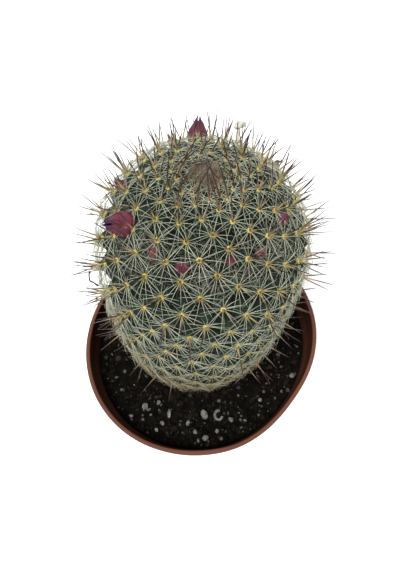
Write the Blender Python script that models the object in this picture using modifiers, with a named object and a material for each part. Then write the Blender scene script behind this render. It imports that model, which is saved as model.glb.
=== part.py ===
# A round cactus with spiralling tubercles, standing in a thin plastic nursery pot.
# Units are metres, +Z is up, and the origin is under the middle of the pot's foot.

import math
import random

import bmesh
import bpy
from mathutils import Matrix, Vector, noise

MM = 0.001
GAP = 0.35 * MM                 # left between pieces that rest on each other
TURN_STEPS = 72                 # sides of a turned piece

# Pot: a standard 85 mm nursery pot, its thin rim squeezed to an oval by handling
POT_HEIGHT = 75 * MM
RIM_RADIUS = 42.5 * MM
LIP_WALL = 1.5 * MM
LIP_DEPTH = 8.5 * MM
LIP_STEP = 1.4 * MM             # the wall steps in this far below the lip
WALL = 1.0 * MM
FOOT_RADIUS = 30.5 * MM
FOOT_WIDTH = 2.2 * MM
FOOT_HEIGHT = 2.6 * MM
FLOOR = 1.3 * MM
RIM_SQUEEZE = 0.04              # long half axis grows by this share, the short one shrinks
RIM_TURN = math.radians(40.4)   # where the oval's long axis points
DRAIN_RADIUS = 3.4 * MM
DRAIN_RING = 20.0 * MM
DRAIN_COUNT = 8

# Potting mix
SOIL_DROP = 11.0 * MM           # below the rim
SOIL_RIPPLE = 0.7 * MM
SOIL_GRAIN = 9.0 * MM           # spacing of the ripples

# Stem, in its own frame: the origin is where its axis meets the soil
STEM_FOOT = (-2.2 * MM, 2.8 * MM)
STEM_LEAN_X = math.radians(-9.2)
STEM_LEAN_Y = math.radians(2.2)
BELLY_RADIUS = 29.9 * MM
BELLY_HEIGHT = 60.4 * MM
CROWN_RISE = 29.1 * MM
CROWN_POWER = 2.09
TAPER_REACH = 69.5 * MM
TAPER_POWER = 2.655
NECK_DEPTH = 8.0 * MM
NECK_RADIUS = 15.0 * MM
NECK_SIDES = 14
SOCKET_SLACK = 0.8 * MM

# Areoles, one on each tubercle, numbered outwards from the crown along the golden spiral
CROWN_AREA = 157.0 * MM ** 2    # bare woolly disc at the crown
AREOLE_AREA = 58.9 * MM ** 2    # area of a full-grown tubercle
GROWTH_SPAN = 68.3              # areoles before a tubercle is nearly full grown
SPIRAL_START = math.radians(72.2)
SPIRAL_STEP = math.radians(-137.62)
SPIRAL_TWIST = math.radians(0.00000194)  # the step widens slowly with age
TWIST_LIMIT = 215               # areoles from here on keep the same step
VALLEY_SHARE = 0.34             # depth of the furrows as a share of the areole spacing

# Flower buds: azimuth on the stem in degrees, length and width in mm,
# then how far the bud leans from the normal and the azimuth that it leans to
BUD_HEIGHT = 81.5 * MM
BUD_SINK = 1.1 * MM
BUD_ROOT = 0.9 * MM
BUDS = (
    ("flower_bud_large", -156, 8.8, 6.8, 40, -147),
    ("flower_bud_back", 94, 8.0, 6.2, 12, 40),
    ("flower_bud_side", 173, 4.2, 3.4, 8, 173),
    ("flower_bud_front", -102, 3.4, 3.6, 0, -102),
    ("flower_bud_front_small", -75, 3.0, 2.6, 0, -75),
    ("flower_bud_streaked", -130, 3.2, 3.0, 0, -130),
    ("flower_bud_right", -19, 3.6, 3.4, 4, -19),
    ("flower_bud_dull", -53, 3.0, 2.8, 0, -53),
    ("spent_flower_right", 32, 4.4, 2.8, 6, 32),
    ("spent_flower_back", 121, 4.0, 2.6, 6, 121),
)

# Loose pieces caught in the spines
HUSK_AZIMUTH = math.radians(69)
HUSK_LEAN = 0.32                # share by which it leans from the normal
HUSK_LEAN_AZIMUTH = math.radians(140)
HUSK_STALK = 6.0 * MM
HUSK_HEAD = 1.9 * MM
SCRAP_AZIMUTH = math.radians(-156)
SCRAP_HEIGHT = 61 * MM

# White grains on the soil: place in mm, then length, width and height in mm
GRAINS = (
    (-21.0, -24.5, 2.8, 2.4, 2.0),
    (-16.0, -23.0, 1.9, 1.6, 1.4),
    (-12.0, -27.0, 3.4, 1.5, 1.3),
    (-14.5, -30.5, 2.0, 1.7, 1.3),
    (1.0, -27.5, 4.0, 2.7, 2.4),
    (-5.0, -30.5, 2.2, 1.6, 1.3),
    (-2.4, -33.6, 1.8, 1.6, 1.2),
    (11.0, -29.5, 1.8, 1.6, 1.2),
    (1.4, -35.8, 2.6, 2.2, 1.7),
    (5.6, -33.4, 1.7, 1.6, 1.2),
    (34.5, -13.0, 2.3, 2.0, 1.6),
    (22.0, -22.0, 1.8, 1.6, 1.2),
    (-16.5, -33.0, 1.7, 1.4, 1.1),
    (-26.0, -28.0, 1.9, 1.4, 1.1),
    (-31.0, 15.0, 2.4, 2.0, 1.6),
    (28.0, 20.0, 2.6, 2.1, 1.8),
    (6.0, 35.0, 2.2, 1.8, 1.5),
    (-18.0, 31.0, 1.9, 1.7, 1.3),
)
RING_GRAIN = (6.3, -27.6)
RING_GRAIN_RADIUS = 1.45 * MM
RING_GRAIN_TUBE = 0.6 * MM
RING_GRAIN_START = math.radians(65)
RING_GRAIN_STEP = math.radians(31)


def clear_scene():
    for item in list(bpy.data.objects):
        bpy.data.objects.remove(item, do_unlink=True)


def make_collection(name):
    group = bpy.data.collections.new(name)
    bpy.context.scene.collection.children.link(group)
    return group


def make_material(name, color, roughness):
    material = bpy.data.materials.new(name)
    material.use_nodes = True
    shader = material.node_tree.nodes["Principled BSDF"]
    shader.inputs["Base Color"].default_value = (*color, 1.0)
    shader.inputs["Roughness"].default_value = roughness
    shader.inputs["Metallic"].default_value = 0.0
    return material


def add_object(name, mesh, material, group, parent=None):
    item = bpy.data.objects.new(name, mesh)
    mesh.materials.clear()
    mesh.materials.append(material)
    group.objects.link(item)
    item.parent = parent
    return item


def finish_mesh(name, bm, smooth_angle=None):
    mesh = bpy.data.meshes.new(name)
    bm.to_mesh(mesh)
    bm.free()
    if smooth_angle is not None:
        mesh.shade_smooth()
        mesh.set_sharp_from_angle(angle=smooth_angle)
    return mesh


def turned_mesh(name, profile, steps=TURN_STEPS):
    # profile: (radius, height) points that run down the outer side
    outline = bpy.data.meshes.new(name + "_profile")
    points = [(radius, 0.0, height) for radius, height in profile]
    outline.from_pydata(points, [(i, i + 1) for i in range(len(points) - 1)], [])
    item = bpy.data.objects.new(name + "_profile", outline)
    bpy.context.scene.collection.objects.link(item)
    screw = item.modifiers.new("turn", "SCREW")
    screw.axis = "Z"
    screw.angle = math.tau
    screw.steps = steps
    screw.render_steps = steps
    screw.use_merge_vertices = True
    screw.merge_threshold = 0.00001
    return baked_mesh(item, name)


def baked_mesh(item, name):
    bpy.context.view_layer.update()
    view = bpy.context.evaluated_depsgraph_get()
    mesh = bpy.data.meshes.new_from_object(item.evaluated_get(view), depsgraph=view)
    mesh.name = name
    bpy.data.objects.remove(item, do_unlink=True)
    mesh.shade_smooth()
    mesh.set_sharp_from_angle(angle=math.radians(35))
    return mesh


def squeeze_mesh(mesh):
    # the round pot turns oval towards its rim
    turn = Matrix.Rotation(RIM_TURN, 3, "Z")
    back = turn.transposed()
    for vertex in mesh.vertices:
        share = RIM_SQUEEZE * max(0.0, vertex.co.z / POT_HEIGHT) ** 1.5
        local = back @ vertex.co
        local.x *= 1.0 + share
        local.y *= 1.0 - share
        vertex.co = turn @ local


def wall_radius(height):
    # outer radius of the tapered wall below the lip
    top = RIM_RADIUS - LIP_STEP
    share = height / (POT_HEIGHT - LIP_DEPTH)
    return FOOT_RADIUS + (top - FOOT_RADIUS) * share


def pot_profile():
    lip_low = POT_HEIGHT - LIP_DEPTH
    floor_top = FOOT_HEIGHT + FLOOR
    inner_foot = wall_radius(floor_top) - WALL
    inner_lip = RIM_RADIUS - LIP_WALL
    edge = 0.4 * MM
    return [
        (0.0, floor_top),
        (inner_foot - 1.5 * MM, floor_top),
        (inner_foot, floor_top + 1.5 * MM),
        (wall_radius(lip_low) - WALL, lip_low - 1.0 * MM),
        (inner_lip - 0.3 * MM, lip_low + 0.8 * MM),
        (inner_lip, POT_HEIGHT - edge),
        (inner_lip + edge, POT_HEIGHT),
        (RIM_RADIUS - edge, POT_HEIGHT),
        (RIM_RADIUS, POT_HEIGHT - edge),
        (RIM_RADIUS - 0.3 * MM, lip_low),
        (wall_radius(lip_low), lip_low),
        (FOOT_RADIUS, 0.6 * MM),
        (FOOT_RADIUS - 0.4 * MM, 0.0),
        (FOOT_RADIUS - FOOT_WIDTH, 0.0),
        (FOOT_RADIUS - FOOT_WIDTH - 0.6 * MM, FOOT_HEIGHT),
        (0.0, FOOT_HEIGHT),
    ]


def make_drain_cutter(cutters):
    bm = bmesh.new()
    centres = [Vector((0.0, 0.0, 0.0))]
    for i in range(DRAIN_COUNT):
        turn = math.tau * i / DRAIN_COUNT
        centres.append(Vector((DRAIN_RING * math.cos(turn), DRAIN_RING * math.sin(turn), 0.0)))
    for centre in centres:
        place = Matrix.Translation(centre + Vector((0.0, 0.0, FOOT_HEIGHT)))
        bmesh.ops.create_cone(
            bm, cap_ends=True, segments=16, radius1=DRAIN_RADIUS, radius2=DRAIN_RADIUS,
            depth=12 * MM, matrix=place)
    cutter = bpy.data.objects.new("drain_cutter", finish_mesh("drain_cutter", bm))
    cutters.objects.link(cutter)
    hide_cutter(cutter)
    return cutter


def hide_cutter(cutter):
    cutter.hide_render = True
    cutter.display_type = "WIRE"


def cut_away(item, cutter):
    cut = item.modifiers.new("cut_" + cutter.name, "BOOLEAN")
    cut.operation = "DIFFERENCE"
    cut.solver = "EXACT"
    cut.object = cutter


def make_pot(group, cutters, material):
    mesh = turned_mesh("pot", pot_profile())
    squeeze_mesh(mesh)
    pot = add_object("pot", mesh, material, group)
    cut_away(pot, make_drain_cutter(cutters))
    return pot


def soil_height(x, y):
    spot = Vector((x, y, 0.0)) / SOIL_GRAIN
    return POT_HEIGHT - SOIL_DROP + SOIL_RIPPLE * noise.noise(spot + Vector((7.3, 2.1, 4.0)))


def soil_profile():
    top = POT_HEIGHT - SOIL_DROP
    bottom = FOOT_HEIGHT + FLOOR + GAP
    foot = wall_radius(bottom) - WALL - GAP
    edge = wall_radius(top) - WALL - GAP
    rings = 10
    surface = [(edge * i / rings, top) for i in range(rings + 1)]
    side = [(foot, bottom + 2.0 * MM), (foot - 2.0 * MM, bottom), (0.0, bottom)]
    return surface + side


def make_soil(group, cutters, material, lean):
    mesh = turned_mesh("potting_soil", soil_profile(), 60)
    squeeze_mesh(mesh)
    for vertex in mesh.vertices:
        if vertex.co.z > POT_HEIGHT - SOIL_DROP - 0.5 * MM:
            vertex.co.z = soil_height(vertex.co.x, vertex.co.y)
    soil = add_object("potting_soil", mesh, material, group)
    low = -NECK_DEPTH - GAP
    high = 4.0 * MM
    slope = (stem_radius(2.0 * MM) - NECK_RADIUS) / (NECK_DEPTH + 2.0 * MM)
    narrow = NECK_RADIUS + SOCKET_SLACK
    bm = bmesh.new()
    bmesh.ops.create_cone(
        bm, cap_ends=True, segments=36, radius1=narrow, radius2=narrow + slope * (high - low),
        depth=high - low, matrix=Matrix.Translation((0.0, 0.0, (high + low) / 2)))
    cutter = bpy.data.objects.new("socket_cutter", finish_mesh("socket_cutter", bm))
    cutters.objects.link(cutter)
    cutter.parent = lean
    hide_cutter(cutter)
    cut_away(soil, cutter)
    return soil


def stem_radius(height):
    # radius of the skin at the tubercle tips, at a height on the stem's own axis
    if height > BELLY_HEIGHT:
        share, power = (height - BELLY_HEIGHT) / CROWN_RISE, CROWN_POWER
    else:
        share, power = (BELLY_HEIGHT - height) / TAPER_REACH, TAPER_POWER
    return BELLY_RADIUS * max(0.0, 1.0 - share ** power) ** (1.0 / power)


def stem_outline(count=2400):
    # (radius, height, area above) from the crown down to the soil
    top = BELLY_HEIGHT + CROWN_RISE
    rows = []
    area = 0.0
    before = None
    for i in range(count + 1):
        height = top * (1.0 - (i / count) ** 2)
        radius = stem_radius(height)
        if before:
            slant = math.hypot(radius - before[0], height - before[1])
            area += math.pi * (radius + before[0]) * slant
        before = (radius, height)
        rows.append((radius, height, area))
    return rows


def areole_places():
    # (radius, height, azimuth) of every areole, crown first
    rows = stem_outline()
    places = []
    row = 0
    number = 1
    while True:
        grown = number - GROWTH_SPAN * (1.0 - math.exp(-number / GROWTH_SPAN))
        area = CROWN_AREA + AREOLE_AREA * grown
        while row < len(rows) and rows[row][2] < area:
            row += 1
        if row >= len(rows) or rows[row][1] < 1.6 * MM:
            return places
        azimuth = SPIRAL_START + SPIRAL_STEP * number + SPIRAL_TWIST * min(number, TWIST_LIMIT) ** 3
        places.append((rows[row][0], rows[row][1], azimuth))
        number += 1


def on_stem(radius, height, azimuth):
    return Vector((radius * math.cos(azimuth), radius * math.sin(azimuth), height))


def make_stem(group, material, lean):
    # tubercle tips span a convex skin, whose edges are then pressed in as furrows
    bm = bmesh.new()
    for place in areole_places():
        bm.verts.new(on_stem(*place))
    neck = []
    for i in range(NECK_SIDES):
        neck.append(bm.verts.new(on_stem(NECK_RADIUS, -NECK_DEPTH, math.tau * i / NECK_SIDES)))
    bmesh.ops.convex_hull(bm, input=bm.verts)
    bmesh.ops.triangulate(bm, faces=bm.faces)
    axils = [(face.calc_center_median(), face.normal.copy()) for face in bm.faces]
    lengths = {}
    for edge in bm.edges:
        low = min(vertex.co.z for vertex in edge.verts)
        middle = (edge.verts[0].co + edge.verts[1].co) / 2
        lengths[tuple(round(c, 6) for c in middle)] = edge.calc_length() if low > 0.0 else 0.0
    tips = set(bm.verts)
    bmesh.ops.subdivide_edges(bm, edges=bm.edges[:], cuts=1, use_grid_fill=True)
    bm.normal_update()
    for vertex in [v for v in bm.verts if v not in tips]:
        length = min(lengths.get(tuple(round(c, 6) for c in vertex.co), 0.0), 8.0 * MM)
        vertex.co -= vertex.normal * VALLEY_SHARE * length
    bmesh.ops.recalc_face_normals(bm, faces=bm.faces)
    add_object("cactus_stem", finish_mesh("cactus_stem", bm), material, group, lean)
    return axils


def make_crown_wool(group, material, lean):
    radius, height = areole_places()[0][:2]
    base = height + GAP
    low = radius - 0.9 * MM
    profile = [
        (0.0, base + 2.0 * MM),
        (low * 0.35, base + 1.9 * MM),
        (low * 0.7, base + 1.4 * MM),
        (low * 0.95, base + 0.7 * MM),
        (low, base),
        (0.0, base),
    ]
    return add_object("crown_wool", turned_mesh("crown_wool", profile, 24), material, group, lean)


def nearest_axil(axils, point):
    return min(axils, key=lambda axil: (axil[0] - point).length)


def bud_profile(length, width):
    half = width / 2
    root = min(BUD_ROOT, half * 0.7)
    return [
        (0.0, length),
        (half * 0.14, length * 0.95),
        (half * 0.46, length * 0.76),
        (half * 0.78, length * 0.52),
        (half * 0.96, length * 0.33),
        (half, length * 0.24),
        (half * 0.88, length * 0.13),
        ((half + root) * 0.5, length * 0.06),
        (root, 0.0),
        (0.0, 0.0),
    ]


def make_buds(group, materials, lean, axils):
    radius = stem_radius(BUD_HEIGHT)
    for name, azimuth, length, width, tilt, towards in BUDS:
        centre, normal = nearest_axil(axils, on_stem(radius, BUD_HEIGHT, math.radians(azimuth)))
        outward = on_stem(1.0, 0.0, math.radians(towards))
        axis = normal.lerp(outward, tilt / 90.0).normalized()
        mesh = turned_mesh(name, bud_profile(length * MM, width * MM), 14)
        material = materials["spent"] if name.startswith("spent") else materials["bud"]
        bud = add_object(name, mesh, material, group, lean)
        bud.location = centre - normal * BUD_SINK
        bud.rotation_euler = axis.to_track_quat("Z", "Y").to_euler()


def make_husk(group, material, lean, axils):
    radius = stem_radius(BUD_HEIGHT)
    centre, normal = nearest_axil(axils, on_stem(radius, BUD_HEIGHT, HUSK_AZIMUTH))
    stalk = 0.35 * MM
    top = HUSK_STALK + HUSK_HEAD
    profile = [
        (0.0, top),
        (HUSK_HEAD * 0.45, top - HUSK_HEAD * 0.15),
        (HUSK_HEAD * 0.62, top - HUSK_HEAD * 0.5),
        (HUSK_HEAD * 0.40, top - HUSK_HEAD * 0.88),
        (stalk, top - HUSK_HEAD),
        (stalk, 0.0),
        (0.0, 0.0),
    ]
    husk = add_object("dry_husk", turned_mesh("dry_husk", profile, 12), material, group, lean)
    husk.location = centre - normal * BUD_SINK
    axis = normal.lerp(on_stem(1.0, 0.0, HUSK_LEAN_AZIMUTH), HUSK_LEAN).normalized()
    husk.rotation_euler = axis.to_track_quat("Z", "Y").to_euler()


def tube_mesh(name, points, radius):
    curve = bpy.data.curves.new(name, "CURVE")
    curve.dimensions = "3D"
    curve.bevel_depth = radius
    curve.bevel_resolution = 1
    curve.use_fill_caps = True
    spline = curve.splines.new("POLY")
    spline.points.add(len(points) - 1)
    for spot, point in zip(spline.points, points):
        spot.co = (*point, 1.0)
    item = bpy.data.objects.new(name, curve)
    bpy.context.scene.collection.objects.link(item)
    mesh = baked_mesh(item, name)
    bm = bmesh.new()
    bm.from_mesh(mesh)
    bmesh.ops.remove_doubles(bm, verts=bm.verts, dist=0.000001)
    bm.to_mesh(mesh)
    bm.free()
    return mesh


def make_scrap(group, material, lean):
    # a dry curl of old spine and root hanging in the spines
    centre = on_stem(stem_radius(SCRAP_HEIGHT) + 3.4 * MM, SCRAP_HEIGHT, SCRAP_AZIMUTH)
    points = []
    for i in range(11):
        turn = i * 0.55
        size = (1.6 - 0.1 * i) * MM
        rise = (3.2 - 0.5 * i) * MM
        points.append(centre + Vector((size * math.cos(turn), size * math.sin(turn), rise)))
    mesh = tube_mesh("dry_scrap", points, 0.3 * MM)
    return add_object("dry_scrap", mesh, material, group, lean)


def make_grain(name, x, y, size, group, material, rng):
    # a popped grain: a small ball dented at random, resting on the mix
    bm = bmesh.new()
    bmesh.ops.create_icosphere(bm, subdivisions=2, radius=0.5)
    for vertex in bm.verts:
        vertex.co *= rng.uniform(0.86, 1.08)
        vertex.co.x *= size[0] * MM
        vertex.co.y *= size[1] * MM
        vertex.co.z *= size[2] * MM
    turn = Matrix.Rotation(rng.uniform(0.0, math.pi), 4, "Z")
    bmesh.ops.transform(bm, matrix=turn, verts=bm.verts)
    grain = add_object(name, finish_mesh(name, bm, math.radians(40)), material, group)
    rise = max(soil_height(x + dx * size[0] * MM / 2, y + dy * size[0] * MM / 2)
               for dx in (-1, 0, 1) for dy in (-1, 0, 1))
    grain.location = (x, y, rise + GAP + size[2] * MM / 2)
    return grain


def make_grains(group, material):
    rng = random.Random(5)
    for number, (x, y, *size) in enumerate(GRAINS, 1):
        make_grain(f"perlite_grain_{number:02d}", x * MM, y * MM, size, group, material, rng)
    centre = Vector((RING_GRAIN[0] * MM, RING_GRAIN[1] * MM, 0.0))
    points = []
    for i in range(10):
        turn = RING_GRAIN_START + RING_GRAIN_STEP * i
        spot = centre + Vector((math.cos(turn), 1.2 * math.sin(turn), 0.0)) * RING_GRAIN_RADIUS
        spot.z = soil_height(spot.x, spot.y) + RING_GRAIN_TUBE + GAP
        points.append(spot)
    mesh = tube_mesh("perlite_ring", points, RING_GRAIN_TUBE)
    add_object("perlite_ring", mesh, material, group)


def make_lean(group):
    lean = bpy.data.objects.new("stem_axis", None)
    lean.location = (STEM_FOOT[0], STEM_FOOT[1], POT_HEIGHT - SOIL_DROP)
    turn = Matrix.Rotation(STEM_LEAN_Y, 3, "Y") @ Matrix.Rotation(STEM_LEAN_X, 3, "X")
    lean.rotation_euler = turn.to_euler()
    group.objects.link(lean)
    return lean


def build():
    clear_scene()
    group = make_collection("potted_round_cactus")
    cutters = make_collection("cutters")
    materials = {
        "pot": make_material("pot_plastic", (0.20, 0.075, 0.045), 0.5),
        "soil": make_material("potting_mix", (0.012, 0.009, 0.007), 0.95),
        "stem": make_material("cactus_skin", (0.10, 0.15, 0.09), 0.6),
        "wool": make_material("crown_wool", (0.42, 0.35, 0.25), 0.95),
        "bud": make_material("flower_petal", (0.22, 0.015, 0.05), 0.5),
        "spent": make_material("dry_petal", (0.30, 0.17, 0.13), 0.85),
        "husk": make_material("dry_husk", (0.62, 0.57, 0.45), 0.8),
        "scrap": make_material("dry_scrap", (0.05, 0.04, 0.02), 0.9),
        "perlite": make_material("perlite", (0.62, 0.62, 0.58), 0.9),
    }
    lean = make_lean(group)
    make_pot(group, cutters, materials["pot"])
    make_soil(group, cutters, materials["soil"], lean)
    axils = make_stem(group, materials["stem"], lean)
    make_crown_wool(group, materials["wool"], lean)
    make_buds(group, materials, lean, axils)
    make_husk(group, materials["husk"], lean, axils)
    make_scrap(group, materials["scrap"], lean)
    make_grains(group, materials["perlite"])


build()
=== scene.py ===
import math
import random

import bmesh
import bpy
import numpy as np
from mathutils import Matrix, Vector, kdtree, noise


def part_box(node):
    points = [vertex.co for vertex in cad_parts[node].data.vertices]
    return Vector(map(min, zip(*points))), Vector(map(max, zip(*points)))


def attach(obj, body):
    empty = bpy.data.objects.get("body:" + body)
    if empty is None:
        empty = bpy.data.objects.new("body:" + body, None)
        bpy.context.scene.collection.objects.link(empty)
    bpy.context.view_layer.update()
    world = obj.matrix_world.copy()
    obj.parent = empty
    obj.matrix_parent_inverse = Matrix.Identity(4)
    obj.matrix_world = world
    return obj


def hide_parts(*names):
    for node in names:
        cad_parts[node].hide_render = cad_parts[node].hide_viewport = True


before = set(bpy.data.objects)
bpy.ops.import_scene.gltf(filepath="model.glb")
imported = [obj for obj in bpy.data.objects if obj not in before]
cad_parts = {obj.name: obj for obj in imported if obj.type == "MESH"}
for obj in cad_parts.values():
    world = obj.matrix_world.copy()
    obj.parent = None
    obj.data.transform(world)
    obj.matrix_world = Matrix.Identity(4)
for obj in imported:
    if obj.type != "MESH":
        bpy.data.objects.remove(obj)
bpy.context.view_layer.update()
mm = 0.001
potLow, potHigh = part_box("pot")
soilLevel = potHigh[2] - 11.0 * mm


def mathNode(operation, reflected=False):
    # an operator that adds a Math node; a reflected one, as in 1.0 - mask, has its values swapped
    def combine(signal, other):
        return signal.math(operation, *((other, signal) if reflected else (signal, other)))
    return combine


class Signal:
    # wraps a socket, so that arithmetic on it adds Math nodes to its tree
    __add__ = mathNode("ADD")
    __radd__ = mathNode("ADD", True)
    __sub__ = mathNode("SUBTRACT")
    __rsub__ = mathNode("SUBTRACT", True)
    __mul__ = mathNode("MULTIPLY")
    __rmul__ = mathNode("MULTIPLY", True)
    __truediv__ = mathNode("DIVIDE")
    __rtruediv__ = mathNode("DIVIDE", True)
    __pow__ = mathNode("POWER")

    def __init__(self, net, socket):
        self.net = net
        self.socket = socket

    def also(self, name):
        return Signal(self.net, self.net.pick(self.socket.node.outputs, name))

    def math(self, operation, *values):
        return self.net.add("ShaderNodeMath", {"operation": operation}, values)

    def rise(self, low, high):
        # 0 below low, 1 above high, smooth between
        values = {"Value": self, "From Min": low, "From Max": high}
        return self.net.add("ShaderNodeMapRange", {"interpolation_type": "SMOOTHSTEP"}, values)


class Net:
    # builds a node tree with one method for every kind of node
    def __init__(self, tree):
        self.tree = tree

    def pick(self, sockets, key):
        usable = [socket for socket in sockets if socket.enabled]
        if isinstance(key, int):
            return usable[key]
        return next(socket for socket in usable if socket.name == key)

    def feed(self, socket, value):
        if isinstance(value, Signal):
            self.tree.links.new(value.socket, socket)
        elif socket.type == "RGBA" and len(value) == 3:
            socket.default_value = (*value, 1.0)
        else:
            socket.default_value = value

    def add(self, kind, settings=None, values=(), out=0):
        node = self.tree.nodes.new(kind)
        for name, value in (settings or {}).items():
            setattr(node, name, value)
        pairs = values.items() if isinstance(values, dict) else enumerate(values)
        for key, value in pairs:
            self.feed(self.pick(node.inputs, key), value)
        return Signal(self, self.pick(node.outputs, out)) if len(node.outputs) else node

    def vec(self, operation, *values):
        return self.add("ShaderNodeVectorMath", {"operation": operation}, values)

    def weigh(self, *pairs):
        # the sum of vectors, each scaled by its amount
        parts = [self.vec("SCALE", vector, amount) for vector, amount in pairs]
        total = parts[0]
        for part in parts[1:]:
            total = self.vec("ADD", total, part)
        return total

    def blend(self, share, first, second):
        values = {"Factor": share, "A": first, "B": second}
        return self.add("ShaderNodeMix", {"data_type": "RGBA"}, values)

    def noise(self, place, scale, detail=3.0, rough=0.5):
        values = {"Vector": place, "Scale": scale, "Detail": detail, "Roughness": rough}
        return self.add("ShaderNodeTexNoise", {}, values)

    def attributes(self, *names):
        return [self.add("ShaderNodeAttribute", {"attribute_name": name}, out="Fac") for name in names]

    def place(self):
        return self.add("ShaderNodeTexCoord", out="Object")


def newMaterial(name, paint):
    # paint(net) returns the colour, the roughness and the height signal or None
    material = bpy.data.materials.new(name)
    material.use_nodes = True
    net = Net(material.node_tree)
    shader = material.node_tree.nodes["Principled BSDF"]
    finish = paint(net)
    net.feed(shader.inputs["Base Color"], finish["color"])
    net.feed(shader.inputs["Roughness"], finish["rough"])
    if "height" in finish:
        values = {"Height": finish["height"], "Strength": finish["strength"],
                  "Distance": finish["depth"]}
        net.feed(shader.inputs["Normal"], net.add("ShaderNodeBump", {}, values))
    for name, value in finish.get("fixed", {}).items():
        shader.inputs[name].default_value = value
    return material


def paintSkin(net):
    place = net.place()
    depth, = net.attributes("depth")
    broad = net.noise(place, 90.0)
    grey = net.blend(broad.rise(0.35, 0.65), (0.0085, 0.0180, 0.0110), (0.0180, 0.0300, 0.0190))
    # painted shade: the skin is painted darker down in the furrows between the tubercles
    dark = net.blend(depth.rise(0.25, 1.0), grey, (0.0030, 0.0060, 0.0040))
    dots = net.add("ShaderNodeTexVoronoi", {}, {"Vector": place, "Scale": 2600.0})
    speck = (1.0 - dots.rise(0.05, 0.32)) * 0.25
    color = net.blend(speck, dark, (0.05, 0.07, 0.048))
    fine = net.noise(place, 1500.0, 4.0)
    return {"color": color, "rough": 0.5 + fine * 0.25, "height": fine + dots * 0.5,
            "strength": 0.35, "depth": 0.0002, "fixed": {"Specular IOR Level": 0.1}}


def paintRadials(net):
    along, age, tint = net.attributes("along", "age", "tint")
    white = net.blend(tint, (0.255, 0.275, 0.195), (0.50, 0.52, 0.395))
    tan = net.blend(tint, (0.17, 0.135, 0.072), (0.36, 0.30, 0.185))
    aged = (age + tint * 0.20).rise(0.58, 1.02)
    body = net.blend(aged, white, tan)
    color = net.blend(1.0 - along.rise(0.03, 0.22), body, (0.36, 0.29, 0.10))
    return {"color": color, "rough": 0.42, "fixed": {"IOR": 1.5}}


def paintCentrals(net):
    along, age, tint = net.attributes("along", "age", "tint")
    young = 1.0 - age.rise(0.02, 0.10)
    old = age.rise(0.42, 0.80)
    foot = net.blend(young, (0.34, 0.265, 0.125), (0.085, 0.026, 0.016))
    foot = net.blend(old * 0.65, foot, (0.150, 0.105, 0.055))
    middle = net.blend(young, (0.060, 0.030, 0.014), (0.045, 0.015, 0.011))
    middle = net.blend(old * 0.7, middle, (0.16, 0.095, 0.042))
    tip = net.blend(old * 0.5, (0.009, 0.006, 0.005), (0.05, 0.028, 0.016))
    shift = tint * 0.22 - 0.08
    lower = net.blend((along + shift).rise(0.16, 0.52), foot, middle)
    color = net.blend((along + shift).rise(0.44, 0.72), lower, tip)
    return {"color": color, "rough": 0.38, "fixed": {"IOR": 1.5}}


def paintFelt(net):
    crest, age, tint = net.attributes("crest", "age", "tint")
    fresh = net.blend(tint, (0.40, 0.32, 0.085), (0.58, 0.48, 0.16))
    worn = net.blend(age.rise(0.45, 0.95), fresh, (0.20, 0.155, 0.065))
    color = net.blend(crest.rise(0.72, 0.95), worn, (0.10, 0.036, 0.012))
    grain = net.noise(net.place(), 4200.0, 2.0)
    return {"color": color, "rough": 0.95, "height": grain, "strength": 0.8, "depth": 0.0002}


def paintFuzz(net):
    tint, age = net.attributes("tint", "age")
    fresh = net.blend(tint, (0.42, 0.33, 0.11), (0.60, 0.51, 0.25))
    color = net.blend(age.rise(0.45, 0.95), fresh, (0.28, 0.21, 0.10))
    return {"color": color, "rough": 0.9}


def paintWool(dark, light):
    def paint(net):
        return {"color": net.blend(*net.attributes("tint"), dark, light), "rough": 0.95}
    return paint


def paintPetal(inner, outer, tipColor, vein):
    def paint(net):
        along, across = net.attributes("along", "across")
        place = net.place()
        patchy = net.noise(place, 700.0, 4.0)
        base = net.blend(patchy.rise(0.3, 0.7), inner, outer)
        tipped = net.blend((along + patchy * 0.25).rise(0.72, 1.05), base, tipColor)
        lines = net.add("ShaderNodeMath", {"operation": "SINE"}, (across * 34.0 + patchy * 3.0,))
        color = net.blend(lines.rise(0.2, 1.0) * 0.45, tipped, vein)
        return {"color": color, "rough": 0.45 + patchy * 0.25, "height": lines * 0.5 + patchy,
                "strength": 0.5, "depth": 0.00025}
    return paint


def paintDry(dark, light, scale):
    def paint(net):
        place = net.place()
        patchy = net.noise(place, scale, 5.0, 0.65)
        color = net.blend(patchy.rise(0.35, 0.68), dark, light)
        return {"color": color, "rough": 0.85, "height": patchy, "strength": 0.6, "depth": 0.0003}
    return paint


def paintSoil(net):
    place = net.place()
    coarse = net.noise(place, 420.0, 6.0, 0.7)
    fine = net.noise(place, 2400.0, 4.0, 0.7)
    dark = net.blend(coarse.rise(0.35, 0.7), (0.0022, 0.0019, 0.0014), (0.0080, 0.0064, 0.0048))
    color = net.blend(fine.rise(0.66, 0.78) * 0.25, dark, (0.040, 0.036, 0.030))
    return {"color": color, "rough": 0.95, "height": coarse + fine, "strength": 1.0, "depth": 0.0006,
            "fixed": {"Specular IOR Level": 0.04}}


def paintCrumb(net):
    tint, = net.attributes("tint")
    place = net.place()
    fine = net.noise(place, 1900.0, 4.0, 0.7)
    dark = net.blend(tint.rise(0.0, 0.8), (0.0022, 0.0019, 0.0014), (0.0105, 0.0084, 0.0060))
    brown = net.blend(tint.rise(0.93, 0.98), dark, (0.026, 0.019, 0.013))
    color = net.blend(fine.rise(0.62, 0.8) * 0.25, brown, (0.038, 0.034, 0.029))
    return {"color": color, "rough": 0.92, "height": fine, "strength": 0.9, "depth": 0.0004,
            "fixed": {"Specular IOR Level": 0.04}}


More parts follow.
